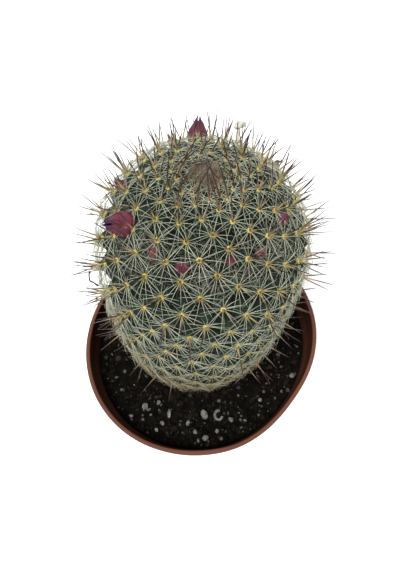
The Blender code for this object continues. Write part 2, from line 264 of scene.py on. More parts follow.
def paintPerlite(net):
    place = net.place()
    cloudy = net.noise(place, 900.0, 4.0, 0.6)
    pits = net.add("ShaderNodeTexVoronoi", {}, {"Vector": place, "Scale": 2100.0})
    pale = net.blend(cloudy.rise(0.35, 0.7), (0.060, 0.060, 0.052), (0.20, 0.20, 0.175))
    # painted shade: the grain is painted darker in its pits
    color = net.blend((1.0 - pits.rise(0.05, 0.3)) * 0.6, pale, (0.045, 0.042, 0.035))
    return {"color": color, "rough": 0.9, "height": pits + cloudy, "strength": 0.7, "depth": 0.0003}


def paintFleck(net):
    tint, = net.attributes("tint")
    color = net.blend(tint ** 2.0, (0.012, 0.0115, 0.010), (0.115, 0.115, 0.100))
    grain = net.noise(net.place(), 2600.0, 3.0)
    return {"color": color, "rough": 0.9, "height": grain, "strength": 0.8, "depth": 0.0003}


def paintPot(net):
    place = net.place()
    apart = net.add("ShaderNodeSeparateXYZ", {}, (place,))
    height = apart.also("Z")
    broad = net.noise(place, 60.0, 3.0)
    fine = net.noise(place, 1300.0, 4.0, 0.6)
    body = net.blend(broad.rise(0.35, 0.65), (0.043, 0.0139, 0.0075), (0.052, 0.0170, 0.0094))
    # painted highlight and scuffing: the top 0.9 mm of the rim is painted lighter
    rimWearAndHighlight = height.rise(potHigh[2] - 0.9 * mm, potHigh[2] - 0.1 * mm)
    worn = net.blend(rimWearAndHighlight * (0.45 + broad * 0.5), body, (0.120, 0.044, 0.026))
    # drawn-out moulding streaks run round the wall
    bands = net.vec("MULTIPLY", place, (18.0, 18.0, 900.0))
    streak = net.noise(bands, 1.0, 3.0)
    streaked = net.blend(streak.rise(0.55, 0.75) * 0.22, worn, (0.090, 0.034, 0.020))
    dust = fine.rise(0.60, 0.76) * (0.10 + broad * 0.25)
    color = net.blend(dust, streaked, (0.11, 0.066, 0.046))
    rough = 0.52 + broad * 0.12 + fine * 0.12
    return {"color": color, "rough": rough, "height": streak * 0.6 + fine * 0.4,
            "strength": 0.25, "depth": 0.0002, "fixed": {"Specular IOR Level": 0.16}}


def paintFloor(net):
    soft = net.noise(net.place(), 6.0, 2.0)
    color = net.blend(soft, (0.94, 0.94, 0.94), (0.97, 0.97, 0.97))
    return {"color": color, "rough": 0.9}


def addPiece(name, mesh, material, replaced=()):
    piece = bpy.data.objects.new(name, mesh)
    bpy.context.scene.collection.objects.link(piece)
    if material is not None:
        mesh.materials.clear()
        mesh.materials.append(material)
    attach(piece, "root")
    if replaced:
        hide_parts(*replaced)
    print(f"{name}: {sum(len(face.vertices) - 2 for face in mesh.polygons)} triangles")


def looseObject(name, mesh):
    item = bpy.data.objects.new(name, mesh)
    bpy.context.scene.collection.objects.link(item)
    return item


def bakedMesh(item, name):
    # the evaluated result as a plain mesh; the helper object goes
    bpy.context.view_layer.update()
    view = bpy.context.evaluated_depsgraph_get()
    mesh = bpy.data.meshes.new_from_object(item.evaluated_get(view), depsgraph=view)
    mesh.name = name
    bpy.data.objects.remove(item, do_unlink=True)
    return mesh


def meshFrom(name, bm, smooth=True):
    mesh = bpy.data.meshes.new(name)
    bm.to_mesh(mesh)
    bm.free()
    if smooth:
        mesh.shade_smooth()
    return mesh


def setAttribute(mesh, name, values):
    values = np.asarray(values, dtype=np.float32)
    kind, field = ("FLOAT_VECTOR", "vector") if values.ndim == 2 else ("FLOAT", "value")
    attribute = mesh.attributes.new(name, kind, "POINT")
    attribute.data.foreach_set(field, values.ravel())


def vertexArray(mesh):
    flat = np.empty(len(mesh.vertices) * 3, dtype=np.float32)
    mesh.vertices.foreach_get("co", flat)
    return flat.reshape(-1, 3).astype(float)


def normalArray(mesh):
    flat = np.empty(len(mesh.vertices) * 3, dtype=np.float32)
    mesh.vertex_normals.foreach_get("vector", flat)
    return flat.reshape(-1, 3)


def storeVertices(mesh, places):
    mesh.vertices.foreach_set("co", np.asarray(places, dtype=np.float32).ravel())
    mesh.update()


def noiseAt(places, scale, shift=0.0):
    # smooth noise from -1 to 1 at each place
    offset = Vector((shift, shift * 0.37, shift * 1.71))
    return np.array([noise.noise(Vector(place) * scale + offset) for place in places])


stemShape = {
    "foot": (-2.2 * mm, 2.8 * mm),
    "leanX": math.radians(-9.2),
    "leanY": math.radians(2.2),
    "bellyRadius": 29.9 * mm,
    "bellyHeight": 60.4 * mm,
    "crownRise": 29.1 * mm,
    "crownPower": 2.09,
    "taperReach": 69.5 * mm,
    "taperPower": 2.655,
    "neckDepth": 8.0 * mm,
    "neckRadius": 15.0 * mm,
    "neckSides": 14,
}
areoleRule = {
    "crownArea": 157.0 * mm ** 2,
    "fullArea": 58.9 * mm ** 2,
    "growthSpan": 68.3,
    "start": math.radians(72.2),
    "step": math.radians(-137.62),
    "twist": math.radians(0.00000194),
    "twistLimit": 215,
    "lowest": 1.6 * mm,
    "crownCount": 30,       # half-hidden areoles in the wool, inside the first counted one
    "crownCell": 4.1 * mm ** 2,
}


def stemMatrix():
    place = Matrix.Translation((*stemShape["foot"], soilLevel))
    sideways = Matrix.Rotation(stemShape["leanY"], 4, "Y")
    return place @ sideways @ Matrix.Rotation(stemShape["leanX"], 4, "X")


def outlineShare(height):
    # how far a height lies from the belly, and the power of that half of the outline
    above = height > stemShape["bellyHeight"]
    reach = np.where(above, stemShape["crownRise"], stemShape["taperReach"])
    power = np.where(above, stemShape["crownPower"], stemShape["taperPower"])
    return (height - stemShape["bellyHeight"]) / reach, reach, power


def outlineRadius(height):
    share, reach, power = outlineShare(np.asarray(height, dtype=float))
    return stemShape["bellyRadius"] * np.clip(1.0 - np.abs(share) ** power, 0.0, 1.0) ** (1.0 / power)


def outlineNormal(radius, height):
    # outward direction in the plane of the axis, as (radial, axial)
    share, reach, power = outlineShare(height)
    outward = (radius / stemShape["bellyRadius"]) ** (power - 1.0) / stemShape["bellyRadius"]
    axial = np.sign(share) * np.abs(share) ** (power - 1.0) / reach
    length = np.hypot(outward, axial)
    return outward / length, axial / length


def areoleTable():
    steps = np.linspace(0.0, 1.0, 6000)
    heights = (stemShape["bellyHeight"] + stemShape["crownRise"]) * (1.0 - steps ** 2)
    radii = outlineRadius(heights)
    rings = np.pi * (radii[1:] + radii[:-1]) * np.hypot(np.diff(radii), np.diff(heights))
    areas = np.concatenate(([0.0], np.cumsum(rings)))
    numbers = np.arange(-areoleRule["crownCount"] + 1, 600)
    counted = np.maximum(numbers, 0)
    young = np.exp(-counted / areoleRule["growthSpan"])
    grown = counted - areoleRule["growthSpan"] * (1.0 - young)
    hidden = np.minimum(numbers, 0) * areoleRule["crownCell"]
    wanted = areoleRule["crownArea"] + areoleRule["fullArea"] * grown + hidden
    height = np.interp(wanted, areas, heights)
    keep = (wanted < areas[-1]) & (height > areoleRule["lowest"])
    numbers, height, young = numbers[keep], height[keep], young[keep]
    radius = outlineRadius(height)
    late = np.clip(numbers, 0, areoleRule["twistLimit"])
    azimuth = areoleRule["start"] + areoleRule["step"] * numbers + areoleRule["twist"] * late ** 3
    cell = np.maximum(areoleRule["fullArea"] * (1.0 - young), areoleRule["crownCell"])
    return {
        "number": numbers,
        "radius": radius,
        "height": height,
        "azimuth": azimuth,
        "spacing": np.sqrt(cell * 2.0 / math.sqrt(3.0)),
    }


def polarPoints(radius, azimuth, height):
    return np.stack([radius * np.cos(azimuth), radius * np.sin(azimuth), height], axis=-1)


def toWorld(places):
    turn = np.array(stemMatrix())
    return places @ turn[:3, :3].T + turn[:3, 3]


def turnToWorld(directions):
    return directions @ np.array(stemMatrix())[:3, :3].T


areoles = areoleTable()
tips = polarPoints(areoles["radius"], areoles["azimuth"], areoles["height"])
outwardShare, axialShare = outlineNormal(areoles["radius"], areoles["height"])
facing = polarPoints(outwardShare, areoles["azimuth"], axialShare)
upward = polarPoints(-axialShare, areoles["azimuth"], outwardShare)
ages = np.maximum(areoles["number"], 0) / len(tips)
inWool = areoles["number"] < 1
grownShare = np.clip(areoles["spacing"] / areoles["spacing"].max(), 0.0, 1.0)
print(f"stem: {len(tips)} areoles")


skinShape = {
    "cuts": 11,
    "furrow": 0.40,         # depth of the furrows as a share of the areole spacing
    "seat": 0.16,           # flat seat under the areole, as a share of half the spacing
    "roundness": 7.0,
    "lump": 0.12 * mm,
}


def makeStemSkin(material):
    bm = bmesh.new()
    for tip in tips[~inWool]:
        bm.verts.new(tip)
    for i in range(stemShape["neckSides"]):
        turn = math.tau * i / stemShape["neckSides"]
        ring = stemShape["neckRadius"]
        bm.verts.new((ring * math.cos(turn), ring * math.sin(turn), -stemShape["neckDepth"]))
    bmesh.ops.convex_hull(bm, input=bm.verts)
    bmesh.ops.triangulate(bm, faces=bm.faces)
    axils = [(face.calc_center_median(), face.normal.copy()) for face in bm.faces]
    bmesh.ops.subdivide_edges(bm, edges=bm.edges[:], cuts=skinShape["cuts"], use_grid_fill=True)
    bmesh.ops.recalc_face_normals(bm, faces=bm.faces)
    mesh = meshFrom("cactus_skin_surface", bm)
    places = vertexArray(mesh)
    # swell the flat hull out to the smooth outline above the soil
    middle = np.array([0.0, 0.0, stemShape["bellyHeight"]])
    arm = places - middle
    share, reach, power = outlineShare(places[:, 2])
    radial = np.hypot(arm[:, 0], arm[:, 1]) / stemShape["bellyRadius"]
    size = (radial ** power + np.abs(share) ** power) ** (1.0 / power)
    swell = np.clip((places[:, 2] + 1.0 * mm) / (4.0 * mm), 0.0, 1.0)
    places = middle + arm * (1.0 + swell * (1.0 / size - 1.0))[:, None]
    # press the furrows in between the tubercles
    tree = kdtree.KDTree(len(tips))
    for i, tip in enumerate(tips):
        tree.insert(tip, i)
    tree.balance()
    depth = np.empty(len(places))
    press = np.empty(len(places))
    for i, place in enumerate(places):
        near = [(gap / (areoles["spacing"][k] * 0.5), areoles["spacing"][k])
                for _, k, gap in tree.find_n(place, 4)]
        total = sum(math.exp(-skinShape["roundness"] * ratio) for ratio, _ in near)
        ratio = -math.log(total) / skinShape["roundness"]
        depth[i] = min(1.0, max(0.0, (ratio - skinShape["seat"]) / (1.0 - skinShape["seat"])))
        press[i] = near[0][1]
    push = skinShape["furrow"] * np.minimum(press, 8.2 * mm) * depth ** 1.25 * swell
    push = push + skinShape["lump"] * noiseAt(places, 420.0)
    places = places - normalArray(mesh) * push[:, None]
    storeVertices(mesh, toWorld(places))
    # the furrow depth, which the skin's shader also turns into painted shade
    setAttribute(mesh, "depth", depth)
    mesh.shade_smooth()
    addPiece("cactus_skin_surface", mesh, material, ["cactus_stem"])
    return axils


def newTree(name, inputs):
    tree = bpy.data.node_groups.new(name, "GeometryNodeTree")
    tree.interface.new_socket("Geometry", in_out="INPUT", socket_type="NodeSocketGeometry")
    for label, kind in inputs.items():
        tree.interface.new_socket(label, in_out="INPUT", socket_type="NodeSocket" + kind)
    tree.interface.new_socket("Geometry", in_out="OUTPUT", socket_type="NodeSocketGeometry")
    net = Net(tree)
    entry = tree.nodes.new("NodeGroupInput")
    given = {socket.name: Signal(net, socket) for socket in entry.outputs if socket.name}
    return tree, net, given


def closeTree(net, geometry, material):
    whole = net.add("GeometryNodeRealizeInstances", {}, (geometry,))
    smooth = net.add("GeometryNodeSetShadeSmooth", {}, (whole,))
    finished = net.add("GeometryNodeSetMaterial", {}, {"Geometry": smooth, "Material": material})
    output = net.tree.nodes.new("NodeGroupOutput")
    net.feed(output.inputs[0], finished)


def random01(net, seed, low=0.0, high=1.0, kind="FLOAT"):
    values = {"Min": low, "Max": high, "Seed": seed}
    return net.add("FunctionNodeRandomValue", {"data_type": kind}, values)


def named(net, name, kind="FLOAT"):
    return net.add("GeometryNodeInputNamedAttribute", {"data_type": kind}, {"Name": name})


def store(net, geometry, name, value, kind="FLOAT"):
    settings = {"data_type": kind, "domain": "POINT"}
    values = {"Geometry": geometry, "Name": name, "Value": value}
    return net.add("GeometryNodeStoreNamedAttribute", settings, values)


def buildSpineTree():
    # grows tapered, curved spines from every point of a mesh
    tree, net, given = newTree("spines", {
        "Count": "Float", "Length": "Float", "Length Spread": "Float", "Thickness": "Float",
        "Tilt": "Float", "Tilt Spread": "Float", "Lean": "Float", "Droop": "Float", "Curl": "Float",
        "Wander": "Float", "Root Ring": "Float", "Blunt": "Float", "Segments": "Int", "Sides": "Int",
        "Seed": "Int", "Material": "Material"})
    seed = given["Seed"]
    wanted = given["Count"] * named(net, "share") + 0.5
    count = wanted.math("FLOOR", wanted)
    copies = net.add("GeometryNodeDuplicateElements", {"domain": "POINT"},
                     {"Geometry": given["Geometry"], "Amount": count})
    place = copies.also("Duplicate Index") + random01(net, seed + 1) * 0.7
    turn = place / count * math.tau + named(net, "phase")
    out = named(net, "facing", "FLOAT_VECTOR")
    up = named(net, "upward", "FLOAT_VECTOR")
    side = net.vec("CROSS_PRODUCT", up, out)
    around = net.weigh((up, turn.math("COSINE", turn)), (side, turn.math("SINE", turn)))
    tilt = given["Tilt"] + random01(net, seed + 2, -1.0, 1.0) * given["Tilt Spread"]
    leaning, size = named(net, "leaning"), named(net, "size")
    aim = net.weigh((out, tilt.math("COSINE", tilt)), (around, tilt.math("SINE", tilt)),
                    (up, given["Lean"] * leaning))
    aim = net.vec("NORMALIZE", aim)
    sag = net.weigh((up, given["Curl"] * leaning), (out, given["Droop"] * -1.0))
    spread = random01(net, seed + 3, -1.0, 1.0) * given["Length Spread"]
    spot = net.add("GeometryNodeInputPosition")
    root = net.vec("ADD", spot, net.vec("SCALE", around, given["Root Ring"] * size))
    grown = copies
    for name, value in (("root", root), ("aim", aim), ("sag", sag)):
        grown = store(net, grown, name, value, "FLOAT_VECTOR")
    grown = store(net, grown, "reach", given["Length"] * size * (1.0 + spread))
    grown = store(net, grown, "tint", random01(net, seed + 4))
    line = net.add("GeometryNodeCurvePrimitiveLine", {}, {"End": (0.0, 0.0, 1.0)})
    line = net.add("GeometryNodeResampleCurve", {}, {"Curve": line, "Count": given["Segments"] + 1.0})
    strands = net.add("GeometryNodeInstanceOnPoints", {}, {"Points": grown, "Instance": line})
    strands = net.add("GeometryNodeRealizeInstances", {}, (strands,))
    along = net.add("GeometryNodeSplineParameter", out="Factor")
    reach = named(net, "reach")
    aim, sag, root = (named(net, name, "FLOAT_VECTOR") for name in ("aim", "sag", "root"))
    path = net.vec("ADD", net.weigh((aim, along * reach), (sag, along * along * reach)), root)
    values = {"Vector": path, "Scale": 520.0, "Detail": 1.0}
    drift = net.vec("SUBTRACT", net.add("ShaderNodeTexNoise", {}, values, "Color"), (0.5, 0.5, 0.5))
    drift = net.vec("SCALE", drift, along * reach * given["Wander"])
    strands = net.add("GeometryNodeSetPosition", {},
                      {"Geometry": strands, "Position": net.vec("ADD", path, drift)})
    strands = store(net, strands, "along", along)
    taper = (1.0 - along * given["Blunt"]) ** 0.55
    taper = given["Thickness"] * taper * (0.35 + named(net, "size") * 0.65)
    ring = net.add("GeometryNodeCurvePrimitiveCircle", {}, {"Resolution": given["Sides"], "Radius": 1.0})
    tubes = net.add("GeometryNodeCurveToMesh", {}, {
        "Curve": strands, "Profile Curve": ring, "Scale": taper, "Fill Caps": True})
    closeTree(net, tubes, given["Material"])
    return tree


def growOn(name, points, tree, inputs):
    # runs a tree on a mesh of points and returns the plain result
    item = looseObject(name, points)
    modifier = item.modifiers.new("grow", "NODES")
    modifier.node_group = tree
    sockets = {s.name: s.identifier for s in tree.interface.items_tree if s.in_out == "INPUT"}
    for label, value in inputs.items():
        modifier[sockets[label]] = value
    mesh = bakedMesh(item, name)
    kept = ("position", "along", "age", "tint", "crest", "sharp_face", "material_index")
    for spare in [a.name for a in mesh.attributes if not a.name.startswith(".") and a.name not in kept]:
        mesh.attributes.remove(mesh.attributes[spare])
    return mesh


def pointMesh(name, places, out, up, **extra):
    mesh = bpy.data.meshes.new(name)
    mesh.from_pydata([tuple(place) for place in places], [], [])
    setAttribute(mesh, "facing", out)
    setAttribute(mesh, "upward", up)
    rng = np.random.default_rng(11)
    fields = {
        "phase": rng.uniform(0.0, math.tau, len(places)),
        "share": np.ones(len(places)),
        "leaning": np.ones(len(places)),
        "size": np.ones(len(places)),
        "age": np.zeros(len(places)),
    }
    fields.update(extra)
    for label, values in fields.items():
        setAttribute(mesh, label, values)
    return mesh


def plantPoints(name, lift=0.0, **extra):
    places = toWorld(tips + facing * lift)
    return pointMesh(name, places, turnToWorld(facing), turnToWorld(upward), age=ages, **extra)


# what a spine or hair has unless its own settings say otherwise
plainSpine = {"Lean": 0.0, "Droop": 0.0, "Curl": 0.0, "Segments": 4, "Sides": 3}
radialSpines = {
    "Count": 17.0, "Length": 6.5 * mm, "Length Spread": 0.20, "Thickness": 0.098 * mm,
    "Tilt": math.radians(74.0), "Tilt Spread": math.radians(8.0), "Droop": 0.15, "Curl": -0.48,
    "Wander": 0.10, "Root Ring": 0.45 * mm, "Blunt": 0.97, "Seed": 3,
}
centralSpines = {
    "Count": 4.0, "Length": 8.3 * mm, "Length Spread": 0.22, "Thickness": 0.235 * mm,
    "Tilt": math.radians(16.0), "Tilt Spread": math.radians(8.0), "Lean": 0.22, "Curl": 0.10,
    "Wander": 0.05, "Root Ring": 0.2 * mm, "Blunt": 0.97, "Segments": 6, "Sides": 5, "Seed": 20,
}
areoleFuzz = {
    "Count": 16.0, "Length": 0.75 * mm, "Length Spread": 0.4, "Thickness": 0.05 * mm,
    "Tilt": math.radians(48.0), "Tilt Spread": math.radians(40.0), "Wander": 0.5,
    "Root Ring": 0.35 * mm, "Blunt": 0.8, "Segments": 2, "Seed": 40,
}


def growSpines(name, points, tree, settings, material):
    mesh = growOn(name, points, tree, {**plainSpine, **settings, "Material": material})
    addPiece(name, mesh, None)


radialGrowth = {
    "youngSize": 0.42, "youngShare": 0.48,      # of a full-grown areole's length and count
    "woolSize": 0.8, "woolShare": 0.5,          # less again for the half-hidden ones
    "hangFrom": 0.18, "hangSpan": 0.35, "hangLeast": 0.15,
}


def makeRadials(tree, material):
    grow = radialGrowth
    size = grow["youngSize"] + (1.0 - grow["youngSize"]) * grownShare ** 0.8
    size = size * np.where(inWool, grow["woolSize"], 1.0)
    share = grow["youngShare"] + (1.0 - grow["youngShare"]) * grownShare
    share = share * np.where(inWool, grow["woolShare"], 1.0)
    # the older they are, the more their ends hang down
    hang = np.clip((ages - grow["hangFrom"]) / grow["hangSpan"], 0.0, 1.0)
    hang = grow["hangLeast"] + (1.0 - grow["hangLeast"]) * hang
    points = plantPoints("radial_points", 0.15 * mm, size=size, share=share, leaning=hang)
    growSpines("radial_spines", points, tree, radialSpines, material)


centralGrowth = {
    "youthSpan": 16.0,                          # areoles over which the crown's spines straighten
    "wearFrom": 0.24, "wearSpan": 0.26,         # ages between which they break off
    "wearBehind": 0.10, "wearInFront": 0.84,
    "amounts": (0.5, 0.75, 1.0), "odds": (0.72, 0.24, 0.04),
    "single": 0.25,
    "archLean": 2.4, "oldLean": 0.7,
    "hiddenLength": 0.58, "hiddenGone": 0.55,
}


def makeCentrals(tree, material):
    # young ones arch over the crown; on the old, worn half most have broken off, above all in front
    grow = centralGrowth
    rng = np.random.default_rng(7)
    dice = rng.uniform(size=len(ages))
    youth = np.exp(-np.maximum(areoles["number"], 0) / grow["youthSpan"])
    front = 0.5 - 0.5 * np.sin(areoles["azimuth"])
    wear = np.clip((ages - grow["wearFrom"]) / grow["wearSpan"], 0.0, 1.0)
    wear = wear * (grow["wearBehind"] + grow["wearInFront"] * front ** 2)
    share = rng.choice(grow["amounts"], len(ages), p=grow["odds"])
    share = np.where(dice < wear * 1.3, grow["single"], share)
    share = np.where(dice < wear, 0.0, share)
    share = np.where(youth > 0.30, grow["single"], share)
    share = np.where(inWool & (dice < grow["hiddenGone"]), 0.0, share)
    length = np.where(inWool, grow["hiddenLength"], 0.78 + 0.22 * grownShare + 0.25 * youth)
    leaning = 1.0 + grow["archLean"] * youth - grow["oldLean"] * np.clip(ages / 0.5, 0.0, 1.0)
    points = plantPoints("central_points", 0.2 * mm, size=length, share=share, leaning=leaning)
    growSpines("central_spines", points, tree, centralSpines, material)


def setLumps(net, points, ball, turn, scale, grain, amount, material, detail=2.0):
    # a ball on every point, turned, sized and made lumpy, as the end of a tree
    lumps = net.add("GeometryNodeInstanceOnPoints", {},
                    {"Points": points, "Instance": ball, "Rotation": turn, "Scale": scale})
    lumps = net.add("GeometryNodeRealizeInstances", {}, (lumps,))
    place = net.add("GeometryNodeInputPosition")
    lump = net.add("ShaderNodeTexNoise", {}, {"Vector": place, "Scale": grain, "Detail": detail})
    outward = net.vec("SCALE", net.add("GeometryNodeInputNormal"), (lump - 0.5) * amount)
    lumps = net.add("GeometryNodeSetPosition", {}, {"Geometry": lumps, "Offset": outward})
    closeTree(net, lumps, material)


def buildPadTree():
    tree, net, given = newTree("pads", {"Width": "Float", "Height": "Float", "Material": "Material"})
    ball = net.add("GeometryNodeMeshIcoSphere", {}, {"Radius": 1.0, "Subdivisions": 3})
    apart = net.add("ShaderNodeSeparateXYZ", {}, (net.add("GeometryNodeInputPosition"),))
    ball = store(net, ball, "crest", apart.also("Z"))
    turn = net.add("FunctionNodeAxesToRotation", {"primary_axis": "Z", "secondary_axis": "X"},
                   (named(net, "facing", "FLOAT_VECTOR"), named(net, "upward", "FLOAT_VECTOR")))
    size = named(net, "size")
    wide = given["Width"] * size
    scale = net.add("ShaderNodeCombineXYZ", {}, (wide, wide, given["Height"] * size))
    points = store(net, given["Geometry"], "tint", random01(net, 5))
    setLumps(net, points, ball, turn, scale, 2400.0, given["Width"] * 0.9, given["Material"])
    return tree


areolePads = {
    "width": 0.82 * mm,
    "height": 0.70 * mm,
    "youngSize": 0.50,
    "oldShrink": 0.30,
    "woolSize": 0.22,
}


def makeAreoles(spineTree, felt, fuzz):
    pad = areolePads
    size = pad["youngSize"] + (1.0 - pad["youngSize"]) * grownShare
    size = np.where(inWool, pad["woolSize"], size * (1.0 - pad["oldShrink"] * ages))
    points = plantPoints("pad_points", 0.0, size=size)
    inputs = {"Width": pad["width"], "Height": pad["height"], "Material": felt}
    addPiece("areole_felt", growOn("areole_felt", points, buildPadTree(), inputs), None)
    points = plantPoints("fuzz_points", 0.25 * mm, size=size)
    growSpines("areole_fuzz", points, spineTree, areoleFuzz, fuzz)


crownWool = {
    "Count": 5.0, "Length": 2.0 * mm, "Length Spread": 0.35, "Thickness": 0.055 * mm,
    "Tilt": math.radians(45.0), "Tilt Spread": math.radians(35.0), "Droop": 0.25, "Wander": 0.9,
    "Root Ring": 0.3 * mm, "Blunt": 0.7, "Seed": 60,
}
axilWool = {
    "Count": 30.0, "Length": 3.2 * mm, "Length Spread": 0.4, "Thickness": 0.05 * mm,
    "Tilt": math.radians(55.0), "Tilt Spread": math.radians(35.0), "Droop": 0.1, "Wander": 1.1,
    "Root Ring": 0.5 * mm, "Blunt": 0.7, "Seed": 80,
}


crownCushion = {
    "rings": 22,
    "spokes": 48,
    "overlap": 1.15,        # its rim, as a share of the first areole's radius
    "sunk": 1.2 * mm,
    "puff": 0.5 * mm,
    "lump": 0.35 * mm,
    "hairs": 330,
}


def makeCrownWool(tree, material):
    # a felted cushion with loose hairs, in the disc inside the first areoles
    shape = crownCushion
    spokes = shape["spokes"]
    top = stemShape["bellyHeight"] + stemShape["crownRise"]
    rim = areoles["radius"][0] * shape["overlap"]
    low = areoles["height"][0] - shape["sunk"]
    bm = bmesh.new()
    grid = []
    for i in range(1, shape["rings"] + 1):
        share = i / shape["rings"]
        row = []
        for k in range(spokes):
            turn = math.tau * k / spokes
            spot = Vector((rim * share * math.cos(turn), rim * share * math.sin(turn), 0.0))
            puff = shape["puff"] * (1.0 - share ** 2) + shape["lump"] * noise.noise(spot * 700.0)
            spot.z = low + (top - low) * (1.0 - share ** 2) + puff * (1.0 - share ** 6)
            row.append(bm.verts.new(spot))
        grid.append(row)
    peak = bm.verts.new((0.0, 0.0, top + shape["puff"]))
    for k in range(spokes):
        after = (k + 1) % spokes
        bm.faces.new((peak, grid[0][k], grid[0][after]))
        for inner, outer in zip(grid, grid[1:]):
            bm.faces.new((inner[k], outer[k], outer[after], inner[after]))
    bm.faces.new(list(reversed(grid[-1])))
    bmesh.ops.triangulate(bm, faces=[face for face in bm.faces if len(face.verts) > 4])
    bmesh.ops.recalc_face_normals(bm, faces=bm.faces)
    mesh = meshFrom("crown_cushion", bm)
    storeVertices(mesh, toWorld(vertexArray(mesh)))
    setAttribute(mesh, "tint", 0.25 + 0.3 * (noiseAt(vertexArray(mesh), 900.0) + 1.0))
    addPiece("crown_cushion", mesh, material, ["crown_wool"])
    rng = np.random.default_rng(4)
    count = shape["hairs"]
    share = np.sqrt(rng.uniform(0.0, 1.0, count))
    turn = rng.uniform(0.0, math.tau, count)
    height = low + (top - low + 0.3 * mm) * (1.0 - share ** 2)
    places = polarPoints(rim * share, turn, height)
    out = polarPoints(share * 0.6, turn, np.ones(count))
    out /= np.linalg.norm(out, axis=1)[:, None]
    up = np.cross(out, polarPoints(np.ones(count), turn + math.pi / 2, np.zeros(count)))
    up /= np.linalg.norm(up, axis=1)[:, None]
    points = pointMesh("wool_points", toWorld(places), turnToWorld(out), turnToWorld(up))
    growSpines("crown_wool_hairs", points, tree, crownWool, material)


axilRing = {"low": 70.0 * mm, "high": 85.5 * mm, "middle": 79.5 * mm, "spread": 4.2 * mm, "sunk": 0.9 * mm}


def makeAxilWool(tree, material, axils):
    # tufts between the tubercles of the flowering ring
    rng = random.Random(14)
    places, out, up, share, size = [], [], [], [], []
    for centre, normal in axils:
        if not axilRing["low"] < centre.z < axilRing["high"]:
            continue
        ring = math.exp(-((centre.z - axilRing["middle"]) / axilRing["spread"]) ** 2)
        front = 0.5 - 0.5 * math.sin(math.atan2(centre.y, centre.x))
        amount = ring * rng.uniform(0.35, 1.25) * (0.6 + 0.6 * front)
        if amount < 0.2:
            continue
        places.append(centre - normal * axilRing["sunk"])
        out.append(normal)
        side = Vector((0.0, 0.0, 1.0)).cross(normal).normalized()
        up.append(normal.cross(side))
        share.append(min(1.0, amount))
        size.append(0.7 + 0.4 * amount)
    points = pointMesh(
        "axil_points", toWorld(np.array(places)), turnToWorld(np.array(out)),
        turnToWorld(np.array(up)), share=np.array(share), size=np.array(size))
    growSpines("axil_wool", points, tree, axilWool, material)


fringeSpines = {
    "Count": 10.0, "Length": 3.7 * mm, "Length Spread": 0.45, "Thickness": 0.105 * mm,
    "Tilt": math.radians(58.0), "Tilt Spread": math.radians(30.0), "Lean": -0.20, "Droop": 0.1,
    "Wander": 0.35, "Root Ring": 0.4 * mm, "Blunt": 0.95, "Segments": 3, "Seed": 100,
}


fringeBand = {"count": 460, "low": 0.1 * mm, "high": 3.6 * mm, "sunk": 0.9 * mm}


def makeFringe(tree, material):
    # short old spines all round the stem's foot, just over the mix
    rng = np.random.default_rng(9)
    count = fringeBand["count"]
    height = rng.uniform(fringeBand["low"], fringeBand["high"], count)
    azimuth = rng.uniform(0.0, math.tau, count)
    radius = outlineRadius(height) - fringeBand["sunk"]
    outShare, upShare = outlineNormal(radius, height)
    places = polarPoints(radius, azimuth, height)
    out = polarPoints(outShare, azimuth, upShare)
    up = polarPoints(-upShare, azimuth, outShare)
    points = pointMesh("fringe_points", toWorld(places), turnToWorld(out), turnToWorld(up),
                       age=np.full(count, 1.0))
    growSpines("old_spine_fringe", points, tree, fringeSpines, material)


budShapes = {
    # outer petals, their whorls, crumple
    "flower_bud_large": {"whorls": ((5, 0.62, 0.62), (6, 0.86, 0.55), (6, 1.0, 0.50)), "crumple": 0.05,
                         "nudge": (0.1 * mm, -1.3 * mm, -0.5 * mm)},
    "flower_bud_back": {"whorls": ((5, 0.60, 0.62), (6, 0.84, 0.55), (6, 1.0, 0.50)), "crumple": 0.05},
    "flower_bud_side": {"whorls": ((5, 0.8, 0.6), (6, 1.0, 0.5)), "crumple": 0.12},
    "flower_bud_front": {"whorls": ((6, 0.8, 0.6), (7, 1.0, 0.5)), "crumple": 0.16},
    "flower_bud_front_small": {"whorls": ((5, 0.8, 0.6), (6, 1.0, 0.5)), "crumple": 0.14},
    "flower_bud_streaked": {"whorls": ((6, 0.9, 0.45), (7, 1.0, 0.35)), "crumple": 0.25},
    "flower_bud_right": {"whorls": ((6, 0.8, 0.6), (7, 1.0, 0.5)), "crumple": 0.2},
    "flower_bud_dull": {"whorls": ((6, 0.8, 0.6), (6, 1.0, 0.5)), "crumple": 0.2},
    "spent_flower_right": {"whorls": ((5, 0.8, 0.6), (6, 1.0, 0.45)), "crumple": 0.3},
    "spent_flower_back": {"whorls": ((5, 0.8, 0.6), (6, 1.0, 0.45)), "crumple": 0.3},
}
petalGrid = {"along": 12, "across": 8, "thickness": 0.10 * mm, "spread": 0.16}
# half width against height, from the foot to the point
budOutline = ((0.0, 0.35), (0.06, 0.64), (0.13, 0.88), (0.24, 1.0),
              (0.33, 0.96), (0.52, 0.78), (0.76, 0.46), (1.0, 0.05))


def outlineAt(share):
    return float(np.interp(share, [row[0] for row in budOutline], [row[1] for row in budOutline]))


def budAxis(name):
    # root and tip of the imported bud, and half its width
    places = vertexArray(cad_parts[name].data)
    heart = toWorld(np.array([[0.0, 0.0, 70.0 * mm]]))[0]
    tip = places[np.argmax(np.linalg.norm(places - heart, axis=1))]
    middle = np.unique(np.round(places, 6), axis=0).mean(axis=0)
    axis = (tip - middle) / np.linalg.norm(tip - middle)
    along = (places - tip) @ axis
    root = tip + axis * along.min()
    width = np.linalg.norm((places - tip) - along[:, None] * axis, axis=1).max()
    return Vector(root), Vector(axis), -along.min(), width


